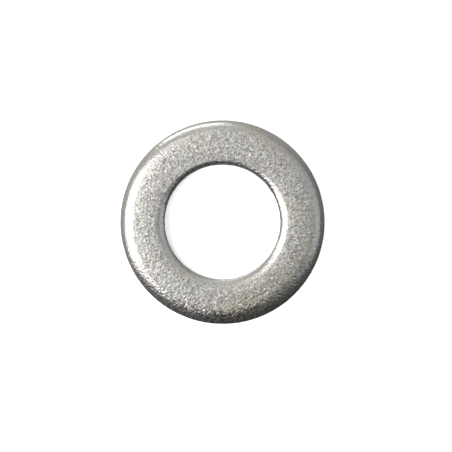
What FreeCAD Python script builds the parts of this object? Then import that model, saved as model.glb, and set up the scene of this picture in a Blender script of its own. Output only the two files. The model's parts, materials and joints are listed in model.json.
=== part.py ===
"""Flat washer for an M16 bolt: one piece of blanked and pierced sheet steel, 17 x 30 x 3 mm.

The part lies on the XY plane with its hole along +Z. Its origin is the centre of the hole at the
lower bearing face. The press tool rolls over both edges of the upper face. Below each rollover it
leaves a straight sheared land, and below the land a break that leans away from it. Tumbling has
worn round the burr at the lower face. All of that is one closed section, turned once around the
hole's axis. Lengths are in millimetres.
"""

import FreeCAD, Part

import os

import Sketcher

NODE = "washer"
PARTS_FOLDER = "parts"
FULL_TURN = 360
HALF = 0.5

# A roll's width is along the bearing face and its depth is down the wall. A roll ends in a tight
# corner where it meets its land, and a break's lean is how far it has moved away at the burr.
DIMENSIONS = {
    "outside_diameter": 30.0,
    "hole_diameter": 17.0,
    "thickness": 3.0,
    "burr_radius": 0.2,
    "rim_roll_width": 1.8,
    "rim_roll_depth": 0.95,
    "rim_corner_radius": 0.45,
    "rim_land_height": 1.1,
    "rim_break_lean": 0.08,
    "hole_roll_width": 1.25,
    "hole_roll_depth": 0.55,
    "hole_corner_radius": 0.3,
    "hole_land_height": 1.3,
    "hole_break_lean": 0.1,
}

# How far each kind of element bulges outwards from its chord, as a share of the chord's length.
STRAIGHT = 0
GENTLE = 0.06
TIGHT = 0.14
QUARTER_ROUND = 0.2

# The section's elements, counter-clockwise, each one starting where the one before it ends.
SECTION = {
    "lower_face": STRAIGHT,
    "rim_burr": QUARTER_ROUND,
    "rim_break": STRAIGHT,
    "rim_land": STRAIGHT,
    "rim_corner": TIGHT,
    "rim_roll": GENTLE,
    "upper_face": STRAIGHT,
    "hole_roll": GENTLE,
    "hole_corner": TIGHT,
    "hole_land": STRAIGHT,
    "hole_break": STRAIGHT,
    "hole_burr": QUARTER_ROUND,
}
# A land meets its break at an edge. All other neighbours are tangent.
EDGES = {("rim_break", "rim_land"), ("hole_land", "hole_break")}

# The ends of an element, and the section's own origin and X axis, as the Sketcher numbers them.
START = 1
END = 2
AXES_ORIGIN = (-1, START)
X_AXIS = -1


def make_sheet(doc):
    """The driving dimensions, one to a row: its name in column A and its value in column B."""
    sheet = doc.addObject("Spreadsheet::Sheet", "dimensions")
    for row, (name, value) in enumerate(DIMENSIONS.items(), start=1):
        sheet.set(f"A{row}", name)
        sheet.set(f"B{row}", str(value))
        sheet.setAlias(f"B{row}", name)
    doc.recompute()
    return sheet


def edge_corners(sheet, edge, wall_radius, outwards):
    """Where one edge's elements meet, from the lower face up to the upper face.

    outwards is 1 for the rim, whose metal ends at its wall, and -1 for the hole.
    """
    roll_width = sheet.get(f"{edge}_roll_width")
    corner_radius = sheet.get(f"{edge}_corner_radius")
    land_top = sheet.thickness - sheet.get(f"{edge}_roll_depth")
    land_foot = land_top - sheet.get(f"{edge}_land_height")
    break_foot = wall_radius - outwards * sheet.get(f"{edge}_break_lean")
    return [
        (break_foot - outwards * sheet.burr_radius, 0),
        (break_foot, sheet.burr_radius),
        (wall_radius, land_foot),
        (wall_radius, land_top),
        (wall_radius - outwards * corner_radius / 2, land_top + corner_radius),
        (wall_radius - outwards * roll_width, sheet.thickness),
    ]


def element(start, end, bulge):
    """A line, or an arc that bulges to the right of the way from start to end."""
    first = FreeCAD.Vector(*start, 0)
    last = FreeCAD.Vector(*end, 0)
    if bulge == STRAIGHT:
        return Part.LineSegment(first, last)
    way = last - first
    middle = (first + last) / 2 + FreeCAD.Vector(way.y, -way.x, 0) * bulge
    return Part.Arc(first, middle, last)


def draw_elements(sketch, sheet):
    """Lay the elements out close to their places, and return each one's number by its name."""
    rim = edge_corners(sheet, "rim", sheet.outside_diameter / 2, outwards=1)
    hole = edge_corners(sheet, "hole", sheet.hole_diameter / 2, outwards=-1)
    starts = hole[:1] + rim + hole[:0:-1]
    ends = starts[1:] + starts[:1]
    return {
        name: sketch.addGeometry(element(start, end, bulge))
        for (name, bulge), start, end in zip(SECTION.items(), starts, ends)
    }


def join_elements(sketch, number):
    """Join each element to the next one, and set the straight ones level or upright."""
    names = list(SECTION)
    for name, following in zip(names, names[1:] + names[:1]):
        kind = "Coincident" if (name, following) in EDGES else "Tangent"
        sketch.addConstraint(Sketcher.Constraint(kind, number[name], END, number[following], START))
    for name in ("lower_face", "upper_face"):
        sketch.addConstraint(Sketcher.Constraint("Horizontal", number[name]))
    for name in ("rim_land", "hole_land"):
        sketch.addConstraint(Sketcher.Constraint("Vertical", number[name]))
    lower_start = (number["lower_face"], START)
    sketch.addConstraint(Sketcher.Constraint("PointOnObject", *lower_start, X_AXIS))


def dimension(sketch, sheet, name, kind, places, share=1):
    """Add a dimension that is a share of the sheet's cell of the same name."""
    constraint = Sketcher.Constraint(kind, *places, sheet.get(name) * share)
    sketch.renameConstraint(sketch.addConstraint(constraint), name)
    sketch.setExpression(f"Constraints.{name}", f"dimensions.{name} * {share}")


def size_elements(sketch, sheet, number):
    """Bind the section's sizes to the sheet. X runs from the hole's axis out to the rim."""
    start = {name: (index, START) for name, index in number.items()}
    end = {name: (index, END) for name, index in number.items()}
    spans = [
        ("thickness", "DistanceY", AXES_ORIGIN, start["upper_face"]),
        ("rim_roll_width", "DistanceX", end["rim_roll"], start["rim_land"]),
        ("rim_roll_depth", "DistanceY", end["rim_land"], start["upper_face"]),
        ("rim_land_height", "DistanceY", start["rim_land"], end["rim_land"]),
        ("rim_break_lean", "DistanceX", start["rim_break"], end["rim_break"]),
        ("hole_roll_width", "DistanceX", start["hole_land"], start["hole_roll"]),
        ("hole_roll_depth", "DistanceY", start["hole_land"], end["upper_face"]),
        ("hole_land_height", "DistanceY", end["hole_land"], start["hole_land"]),
        ("hole_break_lean", "DistanceX", start["hole_break"], end["hole_break"]),
    ]
    for name, kind, near, far in spans:
        dimension(sketch, sheet, name, kind, (*near, *far))
    walls = {"outside_diameter": "rim_land", "hole_diameter": "hole_land"}
    for name, land in walls.items():
        dimension(sketch, sheet, name, "DistanceX", (*AXES_ORIGIN, *start[land]), HALF)
    rounds = {
        "rim_corner_radius": "rim_corner",
        "hole_corner_radius": "hole_corner",
        "burr_radius": "rim_burr",
    }
    for name, arc in rounds.items():
        dimension(sketch, sheet, name, "Radius", (number[arc],))
    sketch.addConstraint(Sketcher.Constraint("Equal", number["rim_burr"], number["hole_burr"]))


def find_plane(body, role):
    return next(feature for feature in body.Origin.OriginFeatures if feature.Role == role)


def make_washer(doc, sheet):
    """The section in the XZ plane, turned once around Z."""
    body = doc.addObject("PartDesign::Body", NODE)
    body.Label = NODE
    body.Placement = FreeCAD.Placement()
    section = body.newObject("Sketcher::SketchObject", "section")
    section.AttachmentSupport = [(find_plane(body, "XZ_Plane"), "")]
    section.MapMode = "FlatFace"
    number = draw_elements(section, sheet)
    join_elements(section, number)
    size_elements(section, sheet, number)
    turned = body.newObject("PartDesign::Revolution", "turned_section")
    turned.Profile = section
    turned.ReferenceAxis = (section, ["V_Axis"])
    turned.Angle = FULL_TURN
    body.Tip = turned
    return body


def check_document(doc, bodies):
    """Stop if any object failed, if a section could still move, or if a body isn't one sound solid."""
    for obj in doc.Objects:
        if {"Invalid", "Error"} & set(obj.State):
            raise RuntimeError(f"{obj.Label} failed: {obj.State}")
        if obj.isDerivedFrom("Sketcher::SketchObject") and not obj.FullyConstrained:
            raise RuntimeError(f"{obj.Label} isn't fully constrained")
    for body in bodies:
        if body.Shape.isNull() or not body.Shape.isValid() or len(body.Shape.Solids) != 1:
            raise RuntimeError(f"{body.Label} isn't one valid solid")


def export_bodies(bodies):
    os.makedirs(PARTS_FOLDER, exist_ok=True)
    for body in bodies:
        body.Shape.exportStep(f"{PARTS_FOLDER}/{body.Label}.step")
        box = body.Shape.optimalBoundingBox()
        print(f"{body.Label}: {box.XLength:.3f} x {box.YLength:.3f} x {box.ZLength:.3f} mm,", end=" ")
        print(f"{body.Shape.Volume:.1f} mm3")


doc = FreeCAD.newDocument("flat_washer")
washer = make_washer(doc, make_sheet(doc))
doc.recompute()
check_document(doc, [washer])
export_bodies([washer])
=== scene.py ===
"""The looks of the flat washer: a stamped, tumbled and zinc-plated steel ring, in metres.

The CAD node gives the size. One finer mesh stands for it: the same section turned round the hole's
axis, with the unevenness that blanking, piercing and tumbling leave on a real washer.

Headings and azimuths are in degrees from +X towards +Y. The photo's right is +X and its top is +Y.
"""

import json
import math
import random

import bpy
import numpy as np
from mathutils import Matrix, Vector, noise


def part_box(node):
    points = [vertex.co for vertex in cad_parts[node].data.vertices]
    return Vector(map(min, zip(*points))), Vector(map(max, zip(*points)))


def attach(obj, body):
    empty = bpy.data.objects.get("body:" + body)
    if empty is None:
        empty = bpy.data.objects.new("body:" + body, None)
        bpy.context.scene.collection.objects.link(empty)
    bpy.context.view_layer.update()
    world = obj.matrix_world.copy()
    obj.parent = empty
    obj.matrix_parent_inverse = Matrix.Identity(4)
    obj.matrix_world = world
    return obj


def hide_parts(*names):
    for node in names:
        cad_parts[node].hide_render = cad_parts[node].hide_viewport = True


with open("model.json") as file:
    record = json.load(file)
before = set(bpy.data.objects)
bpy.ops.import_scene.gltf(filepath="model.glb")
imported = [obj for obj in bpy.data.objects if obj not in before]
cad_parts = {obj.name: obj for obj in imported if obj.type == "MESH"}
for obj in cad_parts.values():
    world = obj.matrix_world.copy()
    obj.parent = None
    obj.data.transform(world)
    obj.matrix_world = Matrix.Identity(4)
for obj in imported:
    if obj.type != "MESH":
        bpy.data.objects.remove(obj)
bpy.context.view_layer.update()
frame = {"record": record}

MM = 0.001
MICRON = 0.000001
QUARTER_TURN = math.pi / 2
FULL_TURN = 2 * math.pi

# ---------------------------------------------------------------------------------------- sizes
box_low, box_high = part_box("washer")
bore = next(mount for mount in frame["record"]["mounts"] if mount["kind"] == "bore")
RIM_RADIUS = (box_high.x - box_low.x) / 2
HOLE_RADIUS = bore["dims"]["r_mm"] * MM
MIDDLE_RADIUS = (RIM_RADIUS + HOLE_RADIUS) / 2
TOP = box_high.z

# The section's two edges, in millimetres, as the CAD has them. A roll's width is along the upper
# face and its depth down the wall. It ends in a tight corner, and below the sheared land the torn
# break leans away from it, down to the rounded burr. At the heading of each pull, the roll is that
# much wider and deeper than in the CAD.
RIM_EDGE = {
    "width": 1.8,
    "depth": 0.95,
    "corner": 0.45,
    "land": 1.1,
    "lean": 0.08,
    "burr": 0.2,
    "pulls": {-130: (0.15, 0), -55: (0.5, 0), 185: (0.25, 0)},
}
HOLE_EDGE = {
    "width": 1.25,
    "depth": 0.55,
    "corner": 0.3,
    "land": 1.3,
    "lean": 0.1,
    "burr": 0.2,
    "pulls": {0: (-0.12, 0), 78: (-0.56, -0.15), 128: (-0.44, -0.03), 190: (0.15, 0)},
}
PULL_FOCUS = 4

# How far each of an edge's sizes wanders, in millimetres, and the fewest and most waves in a turn.
WANDERS = {
    "width": (0.05, 1, 9),
    "depth": (0.02, 1, 7),
    "corner": (0.015, 1, 12),
    "land": (0.07, 2, 90),
    "lean": (0.012, 2, 40),
    "burr": (0.02, 3, 60),
}

# The upper face is a little crowned. It falls this far from its ridge over the crown's reach.
CROWN = 0.038 * MM
CROWN_RIDGE = 11.5 * MM
CROWN_REACH = 1.7 * MM

SEGMENTS = 640
UPPER_FACE_STEPS = 36
LOWER_FACE_STEPS = 32
INNER_ROLL_STEPS = 9
OUTER_ROLL_STEPS = 6
CORNER_STEPS = 7
LAND_STEPS = 8
BREAK_STEPS = 8
BURR_STEPS = 5

# The sides of the washer whose looks differ: each one's heading, and how narrow it is.
PITTED_RIM_SIDE = (-94, 2.5)
PITTED_HOLE_SIDE = (105, 2.2)
UNTINTED_SIDE = (180, 6)
OLIVE_SIDE = (-60, 5)
# The olive tint grows from nothing to full between these radii.
OLIVE_INNER, OLIVE_OUTER = 10 * MM, 12.2 * MM

# The skin's zones, and how many columns of the mesh each one fades over, to either side.
FADES = {"face": 4, "bend": 4, "roll": 4, "land": 2, "torn": 2}
# The bend is the gentle inner part of a roll, up to this share of the roll's turn.
BEND_SHARE = 0.6

rng = random.Random(16)
angles = np.arange(SEGMENTS) * FULL_TURN / SEGMENTS


# ---------------------------------------------------------------------------------- the section
def wander(spread, fewest, most, fall=0.7):
    """A closed curve that wanders round the washer by about that spread, as a column.

    It has from fewest to most waves in a turn, and shorter ones are weaker by the power fall.
    """
    total = np.zeros(SEGMENTS)
    for waves in range(fewest, most + 1):
        weight = (fewest / waves) ** fall * rng.gauss(0, 1)
        total += weight * np.cos(waves * angles + rng.uniform(0, FULL_TURN))
    return (spread * total / total.std())[:, None]


def facing(heading, focus):
    """A share for every angle, as a column: 1 at that heading, and less to its sides."""
    return np.exp(focus * (np.cos(angles - np.radians(heading)) - 1))[:, None]


def uneven(edge):
    """An edge's sizes in metres round the washer: no press cuts quite evenly."""
    sizes = {
        name: edge[name] * MM + wander(spread * MM, fewest, most)
        for name, (spread, fewest, most) in WANDERS.items()
    }
    for heading, (wider, deeper) in edge["pulls"].items():
        sizes["width"] += wider * MM * facing(heading, PULL_FOCUS)
        sizes["depth"] += deeper * MM * facing(heading, PULL_FOCUS)
    return sizes


def arc(centre_s, centre_z, radius, start, end, count):
    """An arc's points and outward normals. Its angles run from straight up towards the wall."""
    turn = start + (end - start) * np.arange(count) / count
    out_s, out_z = -np.sin(turn), np.cos(turn)
    return centre_s + radius * out_s, centre_z + radius * out_z, out_s, out_z


def line(start_s, start_z, end_s, end_z, count):
    """A line's points and outward normals, on the left of the way from start to end."""
    fractions = np.arange(count) / count
    length = np.hypot(end_s - start_s, end_z - start_z)
    level = np.zeros_like(fractions)
    s = start_s + (end_s - start_s) * fractions
    z = start_z + (end_z - start_z) * fractions
    return s, z, (end_z - start_z) / length + level, (start_s - end_s) / length + level


def edge_section(sizes):
    """One edge from the upper face to the lower face: s, z, normal s and normal z, by zone.

    s is the distance from the land into the metal, so that one code makes the rim and the hole.
    """
    width, depth, corner = sizes["width"], sizes["depth"], sizes["corner"]
    lean, burr = sizes["lean"], sizes["burr"]
    zero = np.zeros_like(width)
    land_top = TOP - depth
    land_foot = land_top - sizes["land"]
    roll = ((width - corner) ** 2 + depth**2 - corner**2) / (2 * (depth - corner))
    meet = np.arctan2(width - corner, roll - depth)
    split = BEND_SHARE * meet
    tilt = np.arctan2(lean, land_foot - burr)
    break_foot = burr - burr * np.sin(tilt)
    burr_centre = lean + burr * np.cos(tilt)
    return [
        ("bend", arc(width, TOP - roll, roll, zero, split, INNER_ROLL_STEPS)),
        ("roll", arc(width, TOP - roll, roll, split, meet, OUTER_ROLL_STEPS)),
        ("roll", arc(corner, land_top, corner, meet, QUARTER_TURN, CORNER_STEPS)),
        ("land", line(zero, land_top, zero, land_foot, LAND_STEPS)),
        ("torn", line(zero, land_foot, lean, break_foot, BREAK_STEPS)),
        ("roll", arc(burr_centre, burr, burr, QUARTER_TURN + tilt, 2 * QUARTER_TURN, BURR_STEPS)),
    ]


def joined(elements):
    """Elements side by side in one set of columns, with each column's zone."""
    columns = [np.hstack([points[k] for _, points in elements]) for k in range(4)]
    zones = [zone for zone, points in elements for _ in range(points[0].shape[1])]
    return columns, zones


def crown(radius):
    """How far the upper face has fallen at a radius: in a curve, then with an even slope."""
    away = np.abs(radius - CROWN_RIDGE) / CROWN_REACH
    return CROWN * np.where(away < 1, away**2, 2 * away - 1)


def whole_section():
    """The closed section at every angle: radius, height and outward normal, one row an angle.

    It runs down the rim, inwards along the lower face, up the hole and outwards to the start.
    """
    rim, hole = uneven(RIM_EDGE), uneven(HOLE_EDGE)
    (rim_s, rim_z, rim_ns, rim_nz), rim_zones = joined(edge_section(rim))
    (hole_s, hole_z, hole_ns, hole_nz), hole_zones = joined(edge_section(hole))
    rim_top, hole_top = RIM_RADIUS - rim["width"], HOLE_RADIUS + hole["width"]
    rim_foot = RIM_RADIUS - rim["lean"] - rim["burr"]
    hole_foot = HOLE_RADIUS + hole["lean"] + hole["burr"]
    upper = np.linspace(0, 1, UPPER_FACE_STEPS + 1)[1:-1]
    lower = np.linspace(0, 1, LOWER_FACE_STEPS + 1)
    upper_r = hole_top + (rim_top - hole_top) * upper
    lower_r = rim_foot + (hole_foot - rim_foot) * lower
    radius = np.hstack([RIM_RADIUS - rim_s, lower_r, (HOLE_RADIUS + hole_s)[:, ::-1], upper_r])
    height = np.hstack([rim_z, 0 * lower_r, hole_z[:, ::-1], TOP + 0 * upper_r])
    out_r = np.hstack([-rim_ns, 0 * lower_r, hole_ns[:, ::-1], 0 * upper_r])
    out_z = np.hstack([rim_nz, 0 * lower_r - 1, hole_nz[:, ::-1], 0 * upper_r + 1])
    height -= crown(radius) * height / TOP
    zones = rim_zones + ["face"] * lower.size + hole_zones[::-1] + ["face"] * upper.size
    return radius, height, out_r, out_z, zones


# ------------------------------------------------------------------------------- surface relief
def zone_weights(zones):
    """How much of each zone every column is, from 0 to 1. Neighbouring zones fade together."""
    weights = {}
    for zone, reach in FADES.items():
        row = np.array([float(name == zone) for name in zones])
        wrapped = np.concatenate([row[-reach:], row, row[:reach]])
        span = 2 * reach + 1
        weights[zone] = np.convolve(wrapped, np.ones(span) / span, "valid")
    return weights


def mixed(weights, **shares):
    """The zones' weights added up, each times its share, as a row."""
    return sum(share * weights[zone] for zone, share in shares.items())[None, :]


def pitting(radius, weights):
    """How badly every point of the upper rolls is pitted, from 0 to 1. Its dark colour is partly
    soot in the pits, partly painted shade.
    """
    at_rim = mixed(weights, bend=1, roll=0.7) * facing(*PITTED_RIM_SIDE)
    at_hole = mixed(weights, bend=0.4, roll=0.9) * facing(*PITTED_HOLE_SIDE)
    return np.where(radius > MIDDLE_RADIUS, at_rim, at_hole)


def tinting(weights):
    """How strongly every point is tinted, from 0 to 1: hardly at all on the left."""
    by_zone = mixed(weights, face=1, bend=0.6, roll=0.2, land=0.4, torn=0.4)
    return by_zone * (1 - 0.85 * facing(*UNTINTED_SIDE))


def oliveness(radius, weights):
    """How olive every point is, from 0 to 1: only the outer part of the lower right. The olive is
    darker than the clean plating, partly as painted shade there.
    """
    outer = np.clip((radius - OLIVE_INNER) / (OLIVE_OUTER - OLIVE_INNER), 0, 1)
    return outer * mixed(weights, face=1, bend=1, roll=0.5) * facing(*OLIVE_SIDE)


def noise_field(points, size, stretch=(1, 1, 1)):
    """Smooth noise from about -1 to 1 at every point, with lumps of about that size."""
    scaled = points / (np.array(stretch) * size)
    values = [noise.noise(Vector(point)) for point in scaled.reshape(-1, 3)]
    return np.array(values).reshape(points.shape[:2])


def dents(points, count, smallest, largest, share):
    """Round-bottomed knocks from tumbling against other washers, as depths below the surface.

    A knock's depth is that share of its size.
    """
    sunk = np.zeros(points.shape[:2])
    for _ in range(count):
        centre = points[rng.randrange(points.shape[0]), rng.randrange(points.shape[1])]
        size = rng.uniform(smallest, largest)
        distance = np.linalg.norm(points - centre, axis=2)
        sunk = np.maximum(sunk, size * share * np.exp(-((2 * distance / size) ** 2)))
    return sunk


def relief(points, weights, pitted):
    """How far every point stands out from the even section, along its normal.

    The number beside each zone is the height there, in micrometres.
    """
    swell = noise_field(points, 5 * MM)
    tumbled = noise_field(points, 0.9 * MM)
    grain = noise_field(points, 0.33 * MM)
    scored = noise_field(points, 0.16 * MM, stretch=(1, 1, 14))
    chipped = noise_field(points, 0.3 * MM, stretch=(1, 1, 0.7))
    coarse = noise_field(points, 0.8 * MM)
    out = 10 * MICRON * swell
    out += mixed(weights, face=2.2, bend=2, roll=2) * MICRON * tumbled
    out += (mixed(weights, face=3, bend=1.5, roll=1) + 8 * pitted) * MICRON * grain
    out += mixed(weights, land=9, roll=1) * MICRON * scored
    out += mixed(weights, torn=1) * MICRON * (38 * chipped + 30 * coarse - 20)
    return out - dents(points, count=150, smallest=0.25 * MM, largest=0.8 * MM, share=0.012)


# ------------------------------------------------------------------------------------- the mesh
def washer_mesh():
    """The washer's skin: one row of quads a segment, with a value a point for the material."""
    radius, height, out_r, out_z, zones = whole_section()
    weights = zone_weights(zones)
    around = np.stack([np.cos(angles), np.sin(angles)], axis=1)[:, None, :]
    points = np.concatenate([around * radius[..., None], height[..., None]], axis=2)
    normals = np.concatenate([around * out_r[..., None], out_z[..., None]], axis=2)
    pitted = pitting(radius, weights)
    points += normals * relief(points, weights, pitted)[..., None]

    columns = len(zones)
    row = np.arange(SEGMENTS)[:, None]
    column = np.arange(columns)[None, :]
    next_row = (row + 1) % SEGMENTS
    next_column = (column + 1) % columns
    corners = [
        row * columns + column,
        row * columns + next_column,
        next_row * columns + next_column,
        next_row * columns + column,
    ]
    quads = np.stack(corners, axis=2).reshape(-1, 4)
    mesh = bpy.data.meshes.new("washer_body")
    mesh.from_pydata(points.reshape(-1, 3).tolist(), [], quads.tolist())
    mesh.shade_smooth()
    for zone, weight in weights.items():
        add_attribute(mesh, zone, np.tile(weight, (SEGMENTS, 1)))
    add_attribute(mesh, "pitted", pitted)
    add_attribute(mesh, "tinted", tinting(weights))
    add_attribute(mesh, "olive", oliveness(radius, weights))
    add_map(mesh, points)
    return mesh


def add_attribute(mesh, name, values):
    layer = mesh.attributes.new(name, "FLOAT", "POINT")
    layer.data.foreach_set("value", values.reshape(-1).astype(np.float32))


def add_map(mesh, points, margin=0.004):
    """Lay the skin out flat as two half rings, one above the other.

    Each is cut open along the top of the rim's roll.
    """
    loop = np.vstack([points[0], points[:1, 0]])
    travelled = np.concatenate([[0], np.cumsum(np.linalg.norm(np.diff(loop, axis=0), axis=1))])
    across = travelled / travelled[-1]
    half = SEGMENTS // 2
    row = np.arange(SEGMENTS)[:, None]
    strip = row // half
    shape = points.shape[:2]
    u_start = np.broadcast_to(row % half / half, shape)
    u_end = np.broadcast_to((row % half + 1) / half, shape)
    v_start = np.broadcast_to(across[:-1], shape)
    v_end = np.broadcast_to(across[1:], shape)
    u = margin + (1 - 2 * margin) * np.stack([u_start, u_start, u_end, u_end], axis=2)
    v = np.stack([v_start, v_end, v_end, v_start], axis=2)
    v = (strip[..., None] + margin + (1 - 2 * margin) * v) / 2
    layer = mesh.uv_layers.new(name="OFBake")
    layer.data.foreach_set("uv", np.stack([u, v], axis=3).reshape(-1).astype(np.float32))


# ------------------------------------------------------------------------------------ materials
# A Mix node has sockets for every kind of value. These are its factor and its colours.
MIX_FACTOR, MIX_FIRST, MIX_SECOND = 0, 6, 7
MIX_RESULT = 2

# Base colours, as linear red, green and blue with an alpha of 1.
CLEAN = (0.612, 0.595, 0.574, 1)
STRAW = (0.615, 0.595, 0.51, 1)
VIOLET = (0.595, 0.575, 0.58, 1)
RUSTY = (0.66, 0.55, 0.48, 1)
# An olive tint, darker than the clean plating: partly painted shade on the lower right.
OLIVE = (0.515, 0.487, 0.397, 1)
# Painted highlight: glints on the grain's crests, and a bright line along the scratch.
PAINTED_HIGHLIGHT = (0.93, 0.92, 0.90, 1)
# Grime and painted shade: dirt and dark specks in the grain, and the dull torn steel.
GRIME_AND_SHADE = (0.31, 0.30, 0.275, 1)
# Soot in the pits, and painted shade on the rim's lower side and the hole's upper side.
SOOT_AND_SHADE = (0.15, 0.13, 0.11, 1)
BOARD_DIM = (0.90, 0.90, 0.90, 1)
BOARD_BRIGHT = (0.93, 0.93, 0.925, 1)

BUMP_HEIGHT = 64 * MICRON


class Nodes:
    """Adds nodes to one material. An input is given a number, a colour or another node's output."""

    def __init__(self, name):
        self.material = bpy.data.materials.new(name)
        self.material.use_nodes = True
        self.tree = self.material.node_tree
        self.shader = self.tree.nodes["Principled BSDF"]
        self.shares = {}

    def add(self, kind, output, inputs, **settings):
        made = self.tree.nodes.new(f"ShaderNode{kind}")
        for name, value in settings.items():
            setattr(made, name, value)
        for name, value in inputs.items():
            self.feed(made.inputs[name], value)
        return made.outputs[output]

    def feed(self, socket, value):
        if isinstance(value, bpy.types.NodeSocket):
            self.tree.links.new(value, socket)
        else:
            socket.default_value = value

    def place(self, stretch=(1, 1, 1)):
        """Where a point is on the piece, with each axis squeezed by that much."""
        spot = self.add("TexCoord", "Object", {})
        squeezed = tuple(1 / length for length in stretch)
        return self.add("Mapping", "Vector", {"Vector": spot, "Scale": squeezed})

    def noise(self, size, detail=2.0, roughness=0.5, stretch=(1, 1, 1)):
        """Noise from 0 to 1, with lumps of about that size."""
        inputs = {
            "Vector": self.place(stretch),
            "Scale": 1 / size,
            "Detail": detail,
            "Roughness": roughness,
        }
        return self.add("TexNoise", "Fac", inputs)

    def share(self, name):
        """The mesh's value of that name, from 0 to 1."""
        if name not in self.shares:
            self.shares[name] = self.add("Attribute", "Fac", {}, attribute_name=name)
        return self.shares[name]

    def sum(self, *terms, start=0.0):
        """The sum of weight times value, over (weight, value) pairs."""
        total = start
        for weight, value in terms:
            inputs = {0: value, 1: weight, 2: total}
            total = self.add("Math", "Value", inputs, operation="MULTIPLY_ADD")
        return total

    def mixed(self, start=0.0, **weights):
        """The mesh's values of those names added up, each times its weight."""
        terms = [(weight, self.share(name)) for name, weight in weights.items()]
        return self.sum(*terms, start=start)

    def times(self, first, second):
        return self.add("Math", "Value", {0: first, 1: second}, operation="MULTIPLY")

    def between(self, value, low, high):
        """0 at low, 1 at high, and smooth from one to the other. low may be the larger one."""
        inputs = {"Value": value, "From Min": low, "From Max": high}
        return self.add("MapRange", "Result", inputs, interpolation_type="SMOOTHSTEP")

    def blend(self, amount, first, second):
        """The first colour turned into the second by that amount, from 0 to 1."""
        made = self.tree.nodes.new("ShaderNodeMix")
        made.data_type = "RGBA"
        self.feed(made.inputs[MIX_FACTOR], amount)
        self.feed(made.inputs[MIX_FIRST], first)
        self.feed(made.inputs[MIX_SECOND], second)
        return made.outputs[MIX_RESULT]


def scratch(mat, heading, inner, outer, width):
    """1 along a straight radial scratch on the upper side, from one radius to the other."""
    inner_fade, outer_fade, upper_fade = 0.3 * MM, 0.1 * MM, 0.1 * MM
    turned = {"Vector": mat.place(), "Rotation": (0, 0, -math.radians(heading))}
    along = {"Vector": mat.add("Mapping", "Vector", turned)}
    outwards, sideways, height = (mat.add("SeparateXYZ", axis, along) for axis in "XYZ")
    off_line = mat.add("Math", "Value", {0: sideways}, operation="ABSOLUTE")
    narrow = mat.between(off_line, width / 2, width / 5)
    upper = mat.between(height, TOP / 2, TOP / 2 + upper_fade)
    past_inner = mat.between(outwards, inner, inner + inner_fade)
    before_outer = mat.between(outwards, outer, outer - outer_fade)
    return mat.times(mat.times(narrow, upper), mat.times(past_inner, before_outer))


def plate_colour(mat, pocks, rusty_patches, nick):
    """The plating's colour: clean, and covered by one layer of another colour after another.

    A layer begins to show where its noise reaches the first number, and is full at the second.
    """
    glints = mat.noise(0.28 * MM, detail=1, roughness=0.6)
    straw_patches = mat.noise(4.4 * MM, detail=3, roughness=0.65)
    tinted, olive, pitted = (mat.share(name) for name in ("tinted", "olive", "pitted"))
    speckled = mat.mixed(face=1.0, bend=0.35, roll=0.15, pitted=0.5)
    dark_specks = mat.times(mat.between(glints, 0.50, 0.28), speckled)
    layers = [
        (mat.times(mat.between(straw_patches, 0.50, 0.68), tinted), STRAW),
        (mat.times(mat.between(straw_patches, 0.48, 0.34), tinted), VIOLET),
        (mat.times(mat.between(rusty_patches, 0.52, 0.70), tinted), RUSTY),
        # Olive tint, partly painted shade on the lower right.
        (mat.times(mat.between(straw_patches, 0.30, 0.58), olive), OLIVE),
        # Dark specks: partly grime in the grain, partly painted shade standing in for the sparkle's
        # dark facets.
        (mat.times(dark_specks, 0.95), GRIME_AND_SHADE),
        # Painted glints: the grain's crests are lighter, standing in for the sparkle of tilted
        # facets.
        (mat.times(mat.between(glints, 0.53, 0.69), speckled), PAINTED_HIGHLIGHT),
        # Soot in the pits, partly painted shade on the sides that face the dark room.
        (mat.times(mat.between(pocks, 0.53, 0.38), pitted), SOOT_AND_SHADE),
        # Painted highlight along the scratch, where its flank would mirror the window.
        (nick, PAINTED_HIGHLIGHT),
        # The torn break's own dull, grimy colour.
        (mat.mixed(torn=0.7, land=0.05), GRIME_AND_SHADE),
    ]
    colour = CLEAN
    for amount, layer_colour in layers:
        colour = mat.blend(amount, colour, layer_colour)
    return colour


def plate_height(mat, fine, pocks, nick):
    """The plating's height for the bump, as a share of BUMP_HEIGHT."""
    flecks = mat.noise(0.26 * MM, detail=1, stretch=(1.5, 1, 1))
    scores = mat.noise(0.07 * MM, detail=3, roughness=0.6, stretch=(1, 1, 25))
    torn_grain = mat.noise(0.13 * MM, detail=4, roughness=0.65)
    strengths = [
        (flecks, mat.mixed(face=0.9, bend=0.4, roll=0.2, land=0.1, pitted=0.5)),
        (fine, mat.mixed(face=0.2, bend=0.2, roll=0.06, torn=0.3)),
        (scores, mat.mixed(land=0.8, roll=0.05)),
        (torn_grain, mat.mixed(torn=2.4)),
        (pocks, mat.mixed(pitted=2.1)),
    ]
    raised = [(1.0, mat.times(pattern, strength)) for pattern, strength in strengths]
    return mat.sum(*raised, (-1.3, nick))


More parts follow.
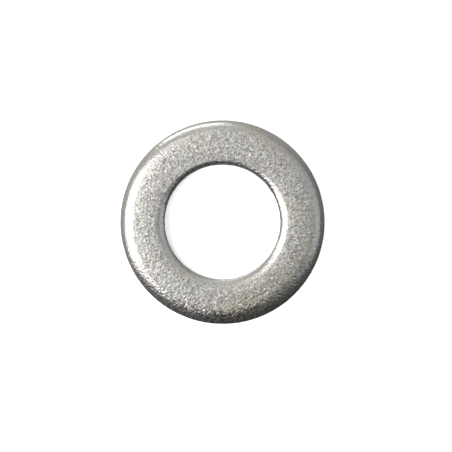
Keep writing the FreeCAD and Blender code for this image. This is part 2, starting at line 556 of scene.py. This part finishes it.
def zinc_plate():
    """Bright zinc plating: sparkly on the faces, smooth on the rolls, scored and torn below."""
    mat = Nodes("zinc_plate")
    fine = mat.noise(0.09 * MM, roughness=0.6)
    pocks = mat.noise(0.38 * MM, roughness=0.6)
    rusty_patches = mat.noise(3.6 * MM, detail=4, roughness=0.65, stretch=(0.7, 1.2, 1))
    # The scratch is cut into the bump, and a painted highlight runs along it.
    nick = scratch(mat, heading=131.7, inner=12.5 * MM, outer=14.7 * MM, width=0.36 * MM)
    nick = mat.times(nick, mat.between(fine, 0.10, 0.40))

    colour = plate_colour(mat, pocks, rusty_patches, nick)
    by_zone = mat.mixed(start=-0.1, face=0.30, bend=0.24, roll=0.17, land=0.22, torn=0.52)
    roughness = mat.sum((0.12, fine), (0.10, rusty_patches), start=by_zone)
    height = plate_height(mat, fine, pocks, nick)
    bump = {"Strength": 1.0, "Distance": BUMP_HEIGHT, "Height": height}
    mat.feed(mat.shader.inputs["Base Color"], colour)
    mat.feed(mat.shader.inputs["Roughness"], roughness)
    mat.shader.inputs["Metallic"].default_value = 1.0
    mat.feed(mat.shader.inputs["Normal"], mat.add("Bump", "Normal", bump))
    return mat.material


def pale_board():
    """Matt white board with a faint tooth."""
    mat = Nodes("pale_board")
    tooth = mat.noise(0.8 * MM, detail=3, roughness=0.6)
    clouds = mat.noise(60 * MM)
    mat.feed(mat.shader.inputs["Base Color"], mat.blend(clouds, BOARD_DIM, BOARD_BRIGHT))
    mat.shader.inputs["Roughness"].default_value = 0.9
    mat.shader.inputs["Specular IOR Level"].default_value = 0.2
    bump = {"Strength": 0.3, "Distance": 20 * MICRON, "Height": tooth}
    mat.feed(mat.shader.inputs["Normal"], mat.add("Bump", "Normal", bump))
    return mat.material


# --------------------------------------------------------------------------------------- pieces
def place_piece(name, mesh, material):
    piece = bpy.data.objects.new(name, mesh)
    mesh.materials.append(material)
    bpy.context.scene.collection.objects.link(piece)
    return piece


washer = place_piece("washer_body", washer_mesh(), zinc_plate())
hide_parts("washer")
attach(washer, "root")


# ---------------------------------------------------------------------------------------- stage
FLOOR_RINGS = (0.05, 0.2, 0.5, 1.0)
# The relief dips 0.01 mm below the washer's lower face, so the floor is set a little lower.
FLOOR_HEIGHT = -0.02 * MM


def bowl_mesh(flat_radius, wall_radius, segments=96, wall_steps=12):
    """A flat floor whose far edge curves up all round, so that no horizon shows."""
    rings = [(flat_radius * share, 0.0) for share in FLOOR_RINGS]
    for step in range(1, wall_steps + 1):
        turn = QUARTER_TURN * step / wall_steps
        out = flat_radius + wall_radius * math.sin(turn)
        rings.append((out, wall_radius * (1 - math.cos(turn))))
    turns = [FULL_TURN * k / segments for k in range(segments)]
    points = [(r * math.cos(turn), r * math.sin(turn), z) for r, z in rings for turn in turns]
    faces = [tuple(range(segments))]
    for ring in range(len(rings) - 1):
        inner, outer = ring * segments, (ring + 1) * segments
        for k in range(segments):
            after = (k + 1) % segments
            faces.append((inner + k, outer + k, outer + after, inner + after))
    mesh = bpy.data.meshes.new("floor")
    mesh.from_pydata(points, [], faces)
    mesh.shade_smooth()
    return mesh


floor = place_piece("floor", bowl_mesh(flat_radius=0.55, wall_radius=0.16), pale_board())
floor.location.z = FLOOR_HEIGHT
floor.visible_glossy = False


# --------------------------------------------------------------------------------------- lights
WHITE = (1, 1, 1)
LIGHT_DISTANCE = 0.5


def direction(azimuth, zenith):
    """A unit vector. zenith is in degrees from straight up."""
    azimuth, zenith = math.radians(azimuth), math.radians(zenith)
    out = math.sin(zenith)
    return Vector((out * math.cos(azimuth), out * math.sin(azimuth), math.cos(zenith)))


def light_sheet(name, width, height, radiance, colour, mirrored=True):
    """A rectangle of even light, out of the camera's sight. The metal mirrors it if mirrored."""
    light = bpy.data.lights.new(name, "AREA")
    light.shape = "RECTANGLE"
    light.size = width
    light.size_y = height
    light.energy = radiance * math.pi * width * height
    light.color = colour
    lamp = bpy.data.objects.new(name, light)
    lamp.visible_camera = False
    lamp.visible_glossy = mirrored
    bpy.context.scene.collection.objects.link(lamp)
    return lamp


def panel(name, x_range, y_range, radiance, colour=WHITE, mirrored=True):
    """A level sheet of light over the washer. Its ranges are in multiples of its height."""
    width, depth = (LIGHT_DISTANCE * (end - start) for start, end in (x_range, y_range))
    lamp = light_sheet(name, width, depth, radiance, colour, mirrored)
    middle_x, middle_y = (LIGHT_DISTANCE * sum(ends) / 2 for ends in (x_range, y_range))
    lamp.location = (middle_x, middle_y, LIGHT_DISTANCE)


def softbox(name, azimuth, zenith, spread, radiance, colour=WHITE):
    """A sheet of light square on to the washer. spread is its width and height in degrees."""
    width, height = (
        2 * LIGHT_DISTANCE * math.tan(math.radians(angle / 2)) for angle in spread
    )
    lamp = light_sheet(name, width, height, radiance, colour)
    lamp.location = direction(azimuth, zenith) * LIGHT_DISTANCE
    lamp.rotation_euler = lamp.location.to_track_quat("Z", "Y").to_euler()


# The window makes the white bands on the left of the rim and on the right of the hole.
softbox("left_window", azimuth=174, zenith=34, spread=(45, 41), radiance=2.43)
# Low lights, for the rim's outline at the upper left and on the right.
softbox(
    "far_left_strip", azimuth=107, zenith=70, spread=(34, 12), radiance=2.5, colour=(0.97, 0.98, 1)
)
softbox(
    "far_right_glow", azimuth=25, zenith=78, spread=(75, 24), radiance=0.045, colour=(0.6, 0.8, 1)
)
# The middle of the room, which the upper face mirrors.
panel("ceiling", (-0.17, 0.30), (-0.05, 0.14), radiance=0.20, colour=(1, 1, 0.95))
panel("back_ceiling", (-0.17, 0.30), (0.14, 0.38), radiance=0.44, colour=(1, 1, 0.95))
panel("front_gap", (-0.01, 0.30), (-0.3, -0.05), radiance=0.08)
panel("front_ceiling", (-0.25, -0.01), (-0.85, -0.05), radiance=0.15, colour=(1, 1, 0.96))
panel("dim_gap", (0.30, 0.46), (-0.35, 0.38), radiance=0.05)
# What stands round it, which the rolls mirror.
panel("top_wall", (-0.34, 0.46), (0.38, 1.9), radiance=0.25, colour=(0.98, 1, 0.95))
panel("right_wall", (0.46, 1.6), (-0.32, 0.2), radiance=0.57, colour=(0.86, 0.94, 1))
panel("corner_wall", (0.46, 1.6), (0.2, 0.85), radiance=0.32, colour=(0.97, 0.99, 0.97))
# Light for the floor only, to make it nearly white.
panel("floor_fill", (-2.5, 2.5), (-2.5, 2.5), radiance=3.6, mirrored=False)

# The room's light, by its place from straight across the pale side (0) to that side (1).
PALE_SIDE_AZIMUTH = 122
ROOM_STOPS = {
    0.0: (0.056, 0.057, 0.062, 1),
    0.5: (0.22, 0.223, 0.225, 1),
    0.92: (0.60, 0.60, 0.57, 1),
}


def make_world():
    """A room that goes from pale at the back left to nearly black across from it."""
    world = bpy.data.worlds.new("studio")
    world.use_nodes = True
    tree = world.node_tree
    heading = tree.nodes.new("ShaderNodeTexCoord")
    towards_pale = tree.nodes.new("ShaderNodeVectorMath")
    towards_pale.operation = "DOT_PRODUCT"
    towards_pale.inputs[1].default_value = direction(PALE_SIDE_AZIMUTH, zenith=90)
    share = tree.nodes.new("ShaderNodeMapRange")
    share.inputs["From Min"].default_value = -1
    ramp = tree.nodes.new("ShaderNodeValToRGB")
    tree.links.new(heading.outputs["Generated"], towards_pale.inputs[0])
    tree.links.new(towards_pale.outputs["Value"], share.inputs["Value"])
    tree.links.new(share.outputs["Result"], ramp.inputs["Fac"])
    tree.links.new(ramp.outputs["Color"], tree.nodes["Background"].inputs["Color"])
    stops = ramp.color_ramp.elements
    stops.remove(stops[-1])
    for position, colour in ROOM_STOPS.items():
        stop = stops[0] if position == stops[0].position else stops.new(position)
        stop.color = colour
    bpy.context.scene.world = world


make_world()
bpy.context.scene.view_settings.view_transform = "Standard"


# --------------------------------------------------------------------------------------- camera
LENS_MM = 100
SENSOR_MM = 36
CLIP_START, CLIP_END = 0.01, 5
CAMERA_AIM = Vector((0.515 * MM, -0.64 * MM, 1.6 * MM))
CAMERA_DISTANCE = 184.6 * MM


def add_camera():
    """The photo's view: almost straight down, with +Y upwards in the picture."""
    data = bpy.data.cameras.new("camera")
    data.lens = LENS_MM
    data.sensor_width = SENSOR_MM
    data.clip_start = CLIP_START
    data.clip_end = CLIP_END
    camera = bpy.data.objects.new("camera", data)
    back = direction(azimuth=-95, zenith=4.5)
    right = Vector((0, 1, 0)).cross(back).normalized()
    own_axes = Matrix((right, back.cross(right), back)).transposed()
    camera.matrix_world = own_axes.to_4x4()
    camera.location = CAMERA_AIM + CAMERA_DISTANCE * back
    bpy.context.scene.collection.objects.link(camera)
    return camera


bpy.context.scene.camera = add_camera()
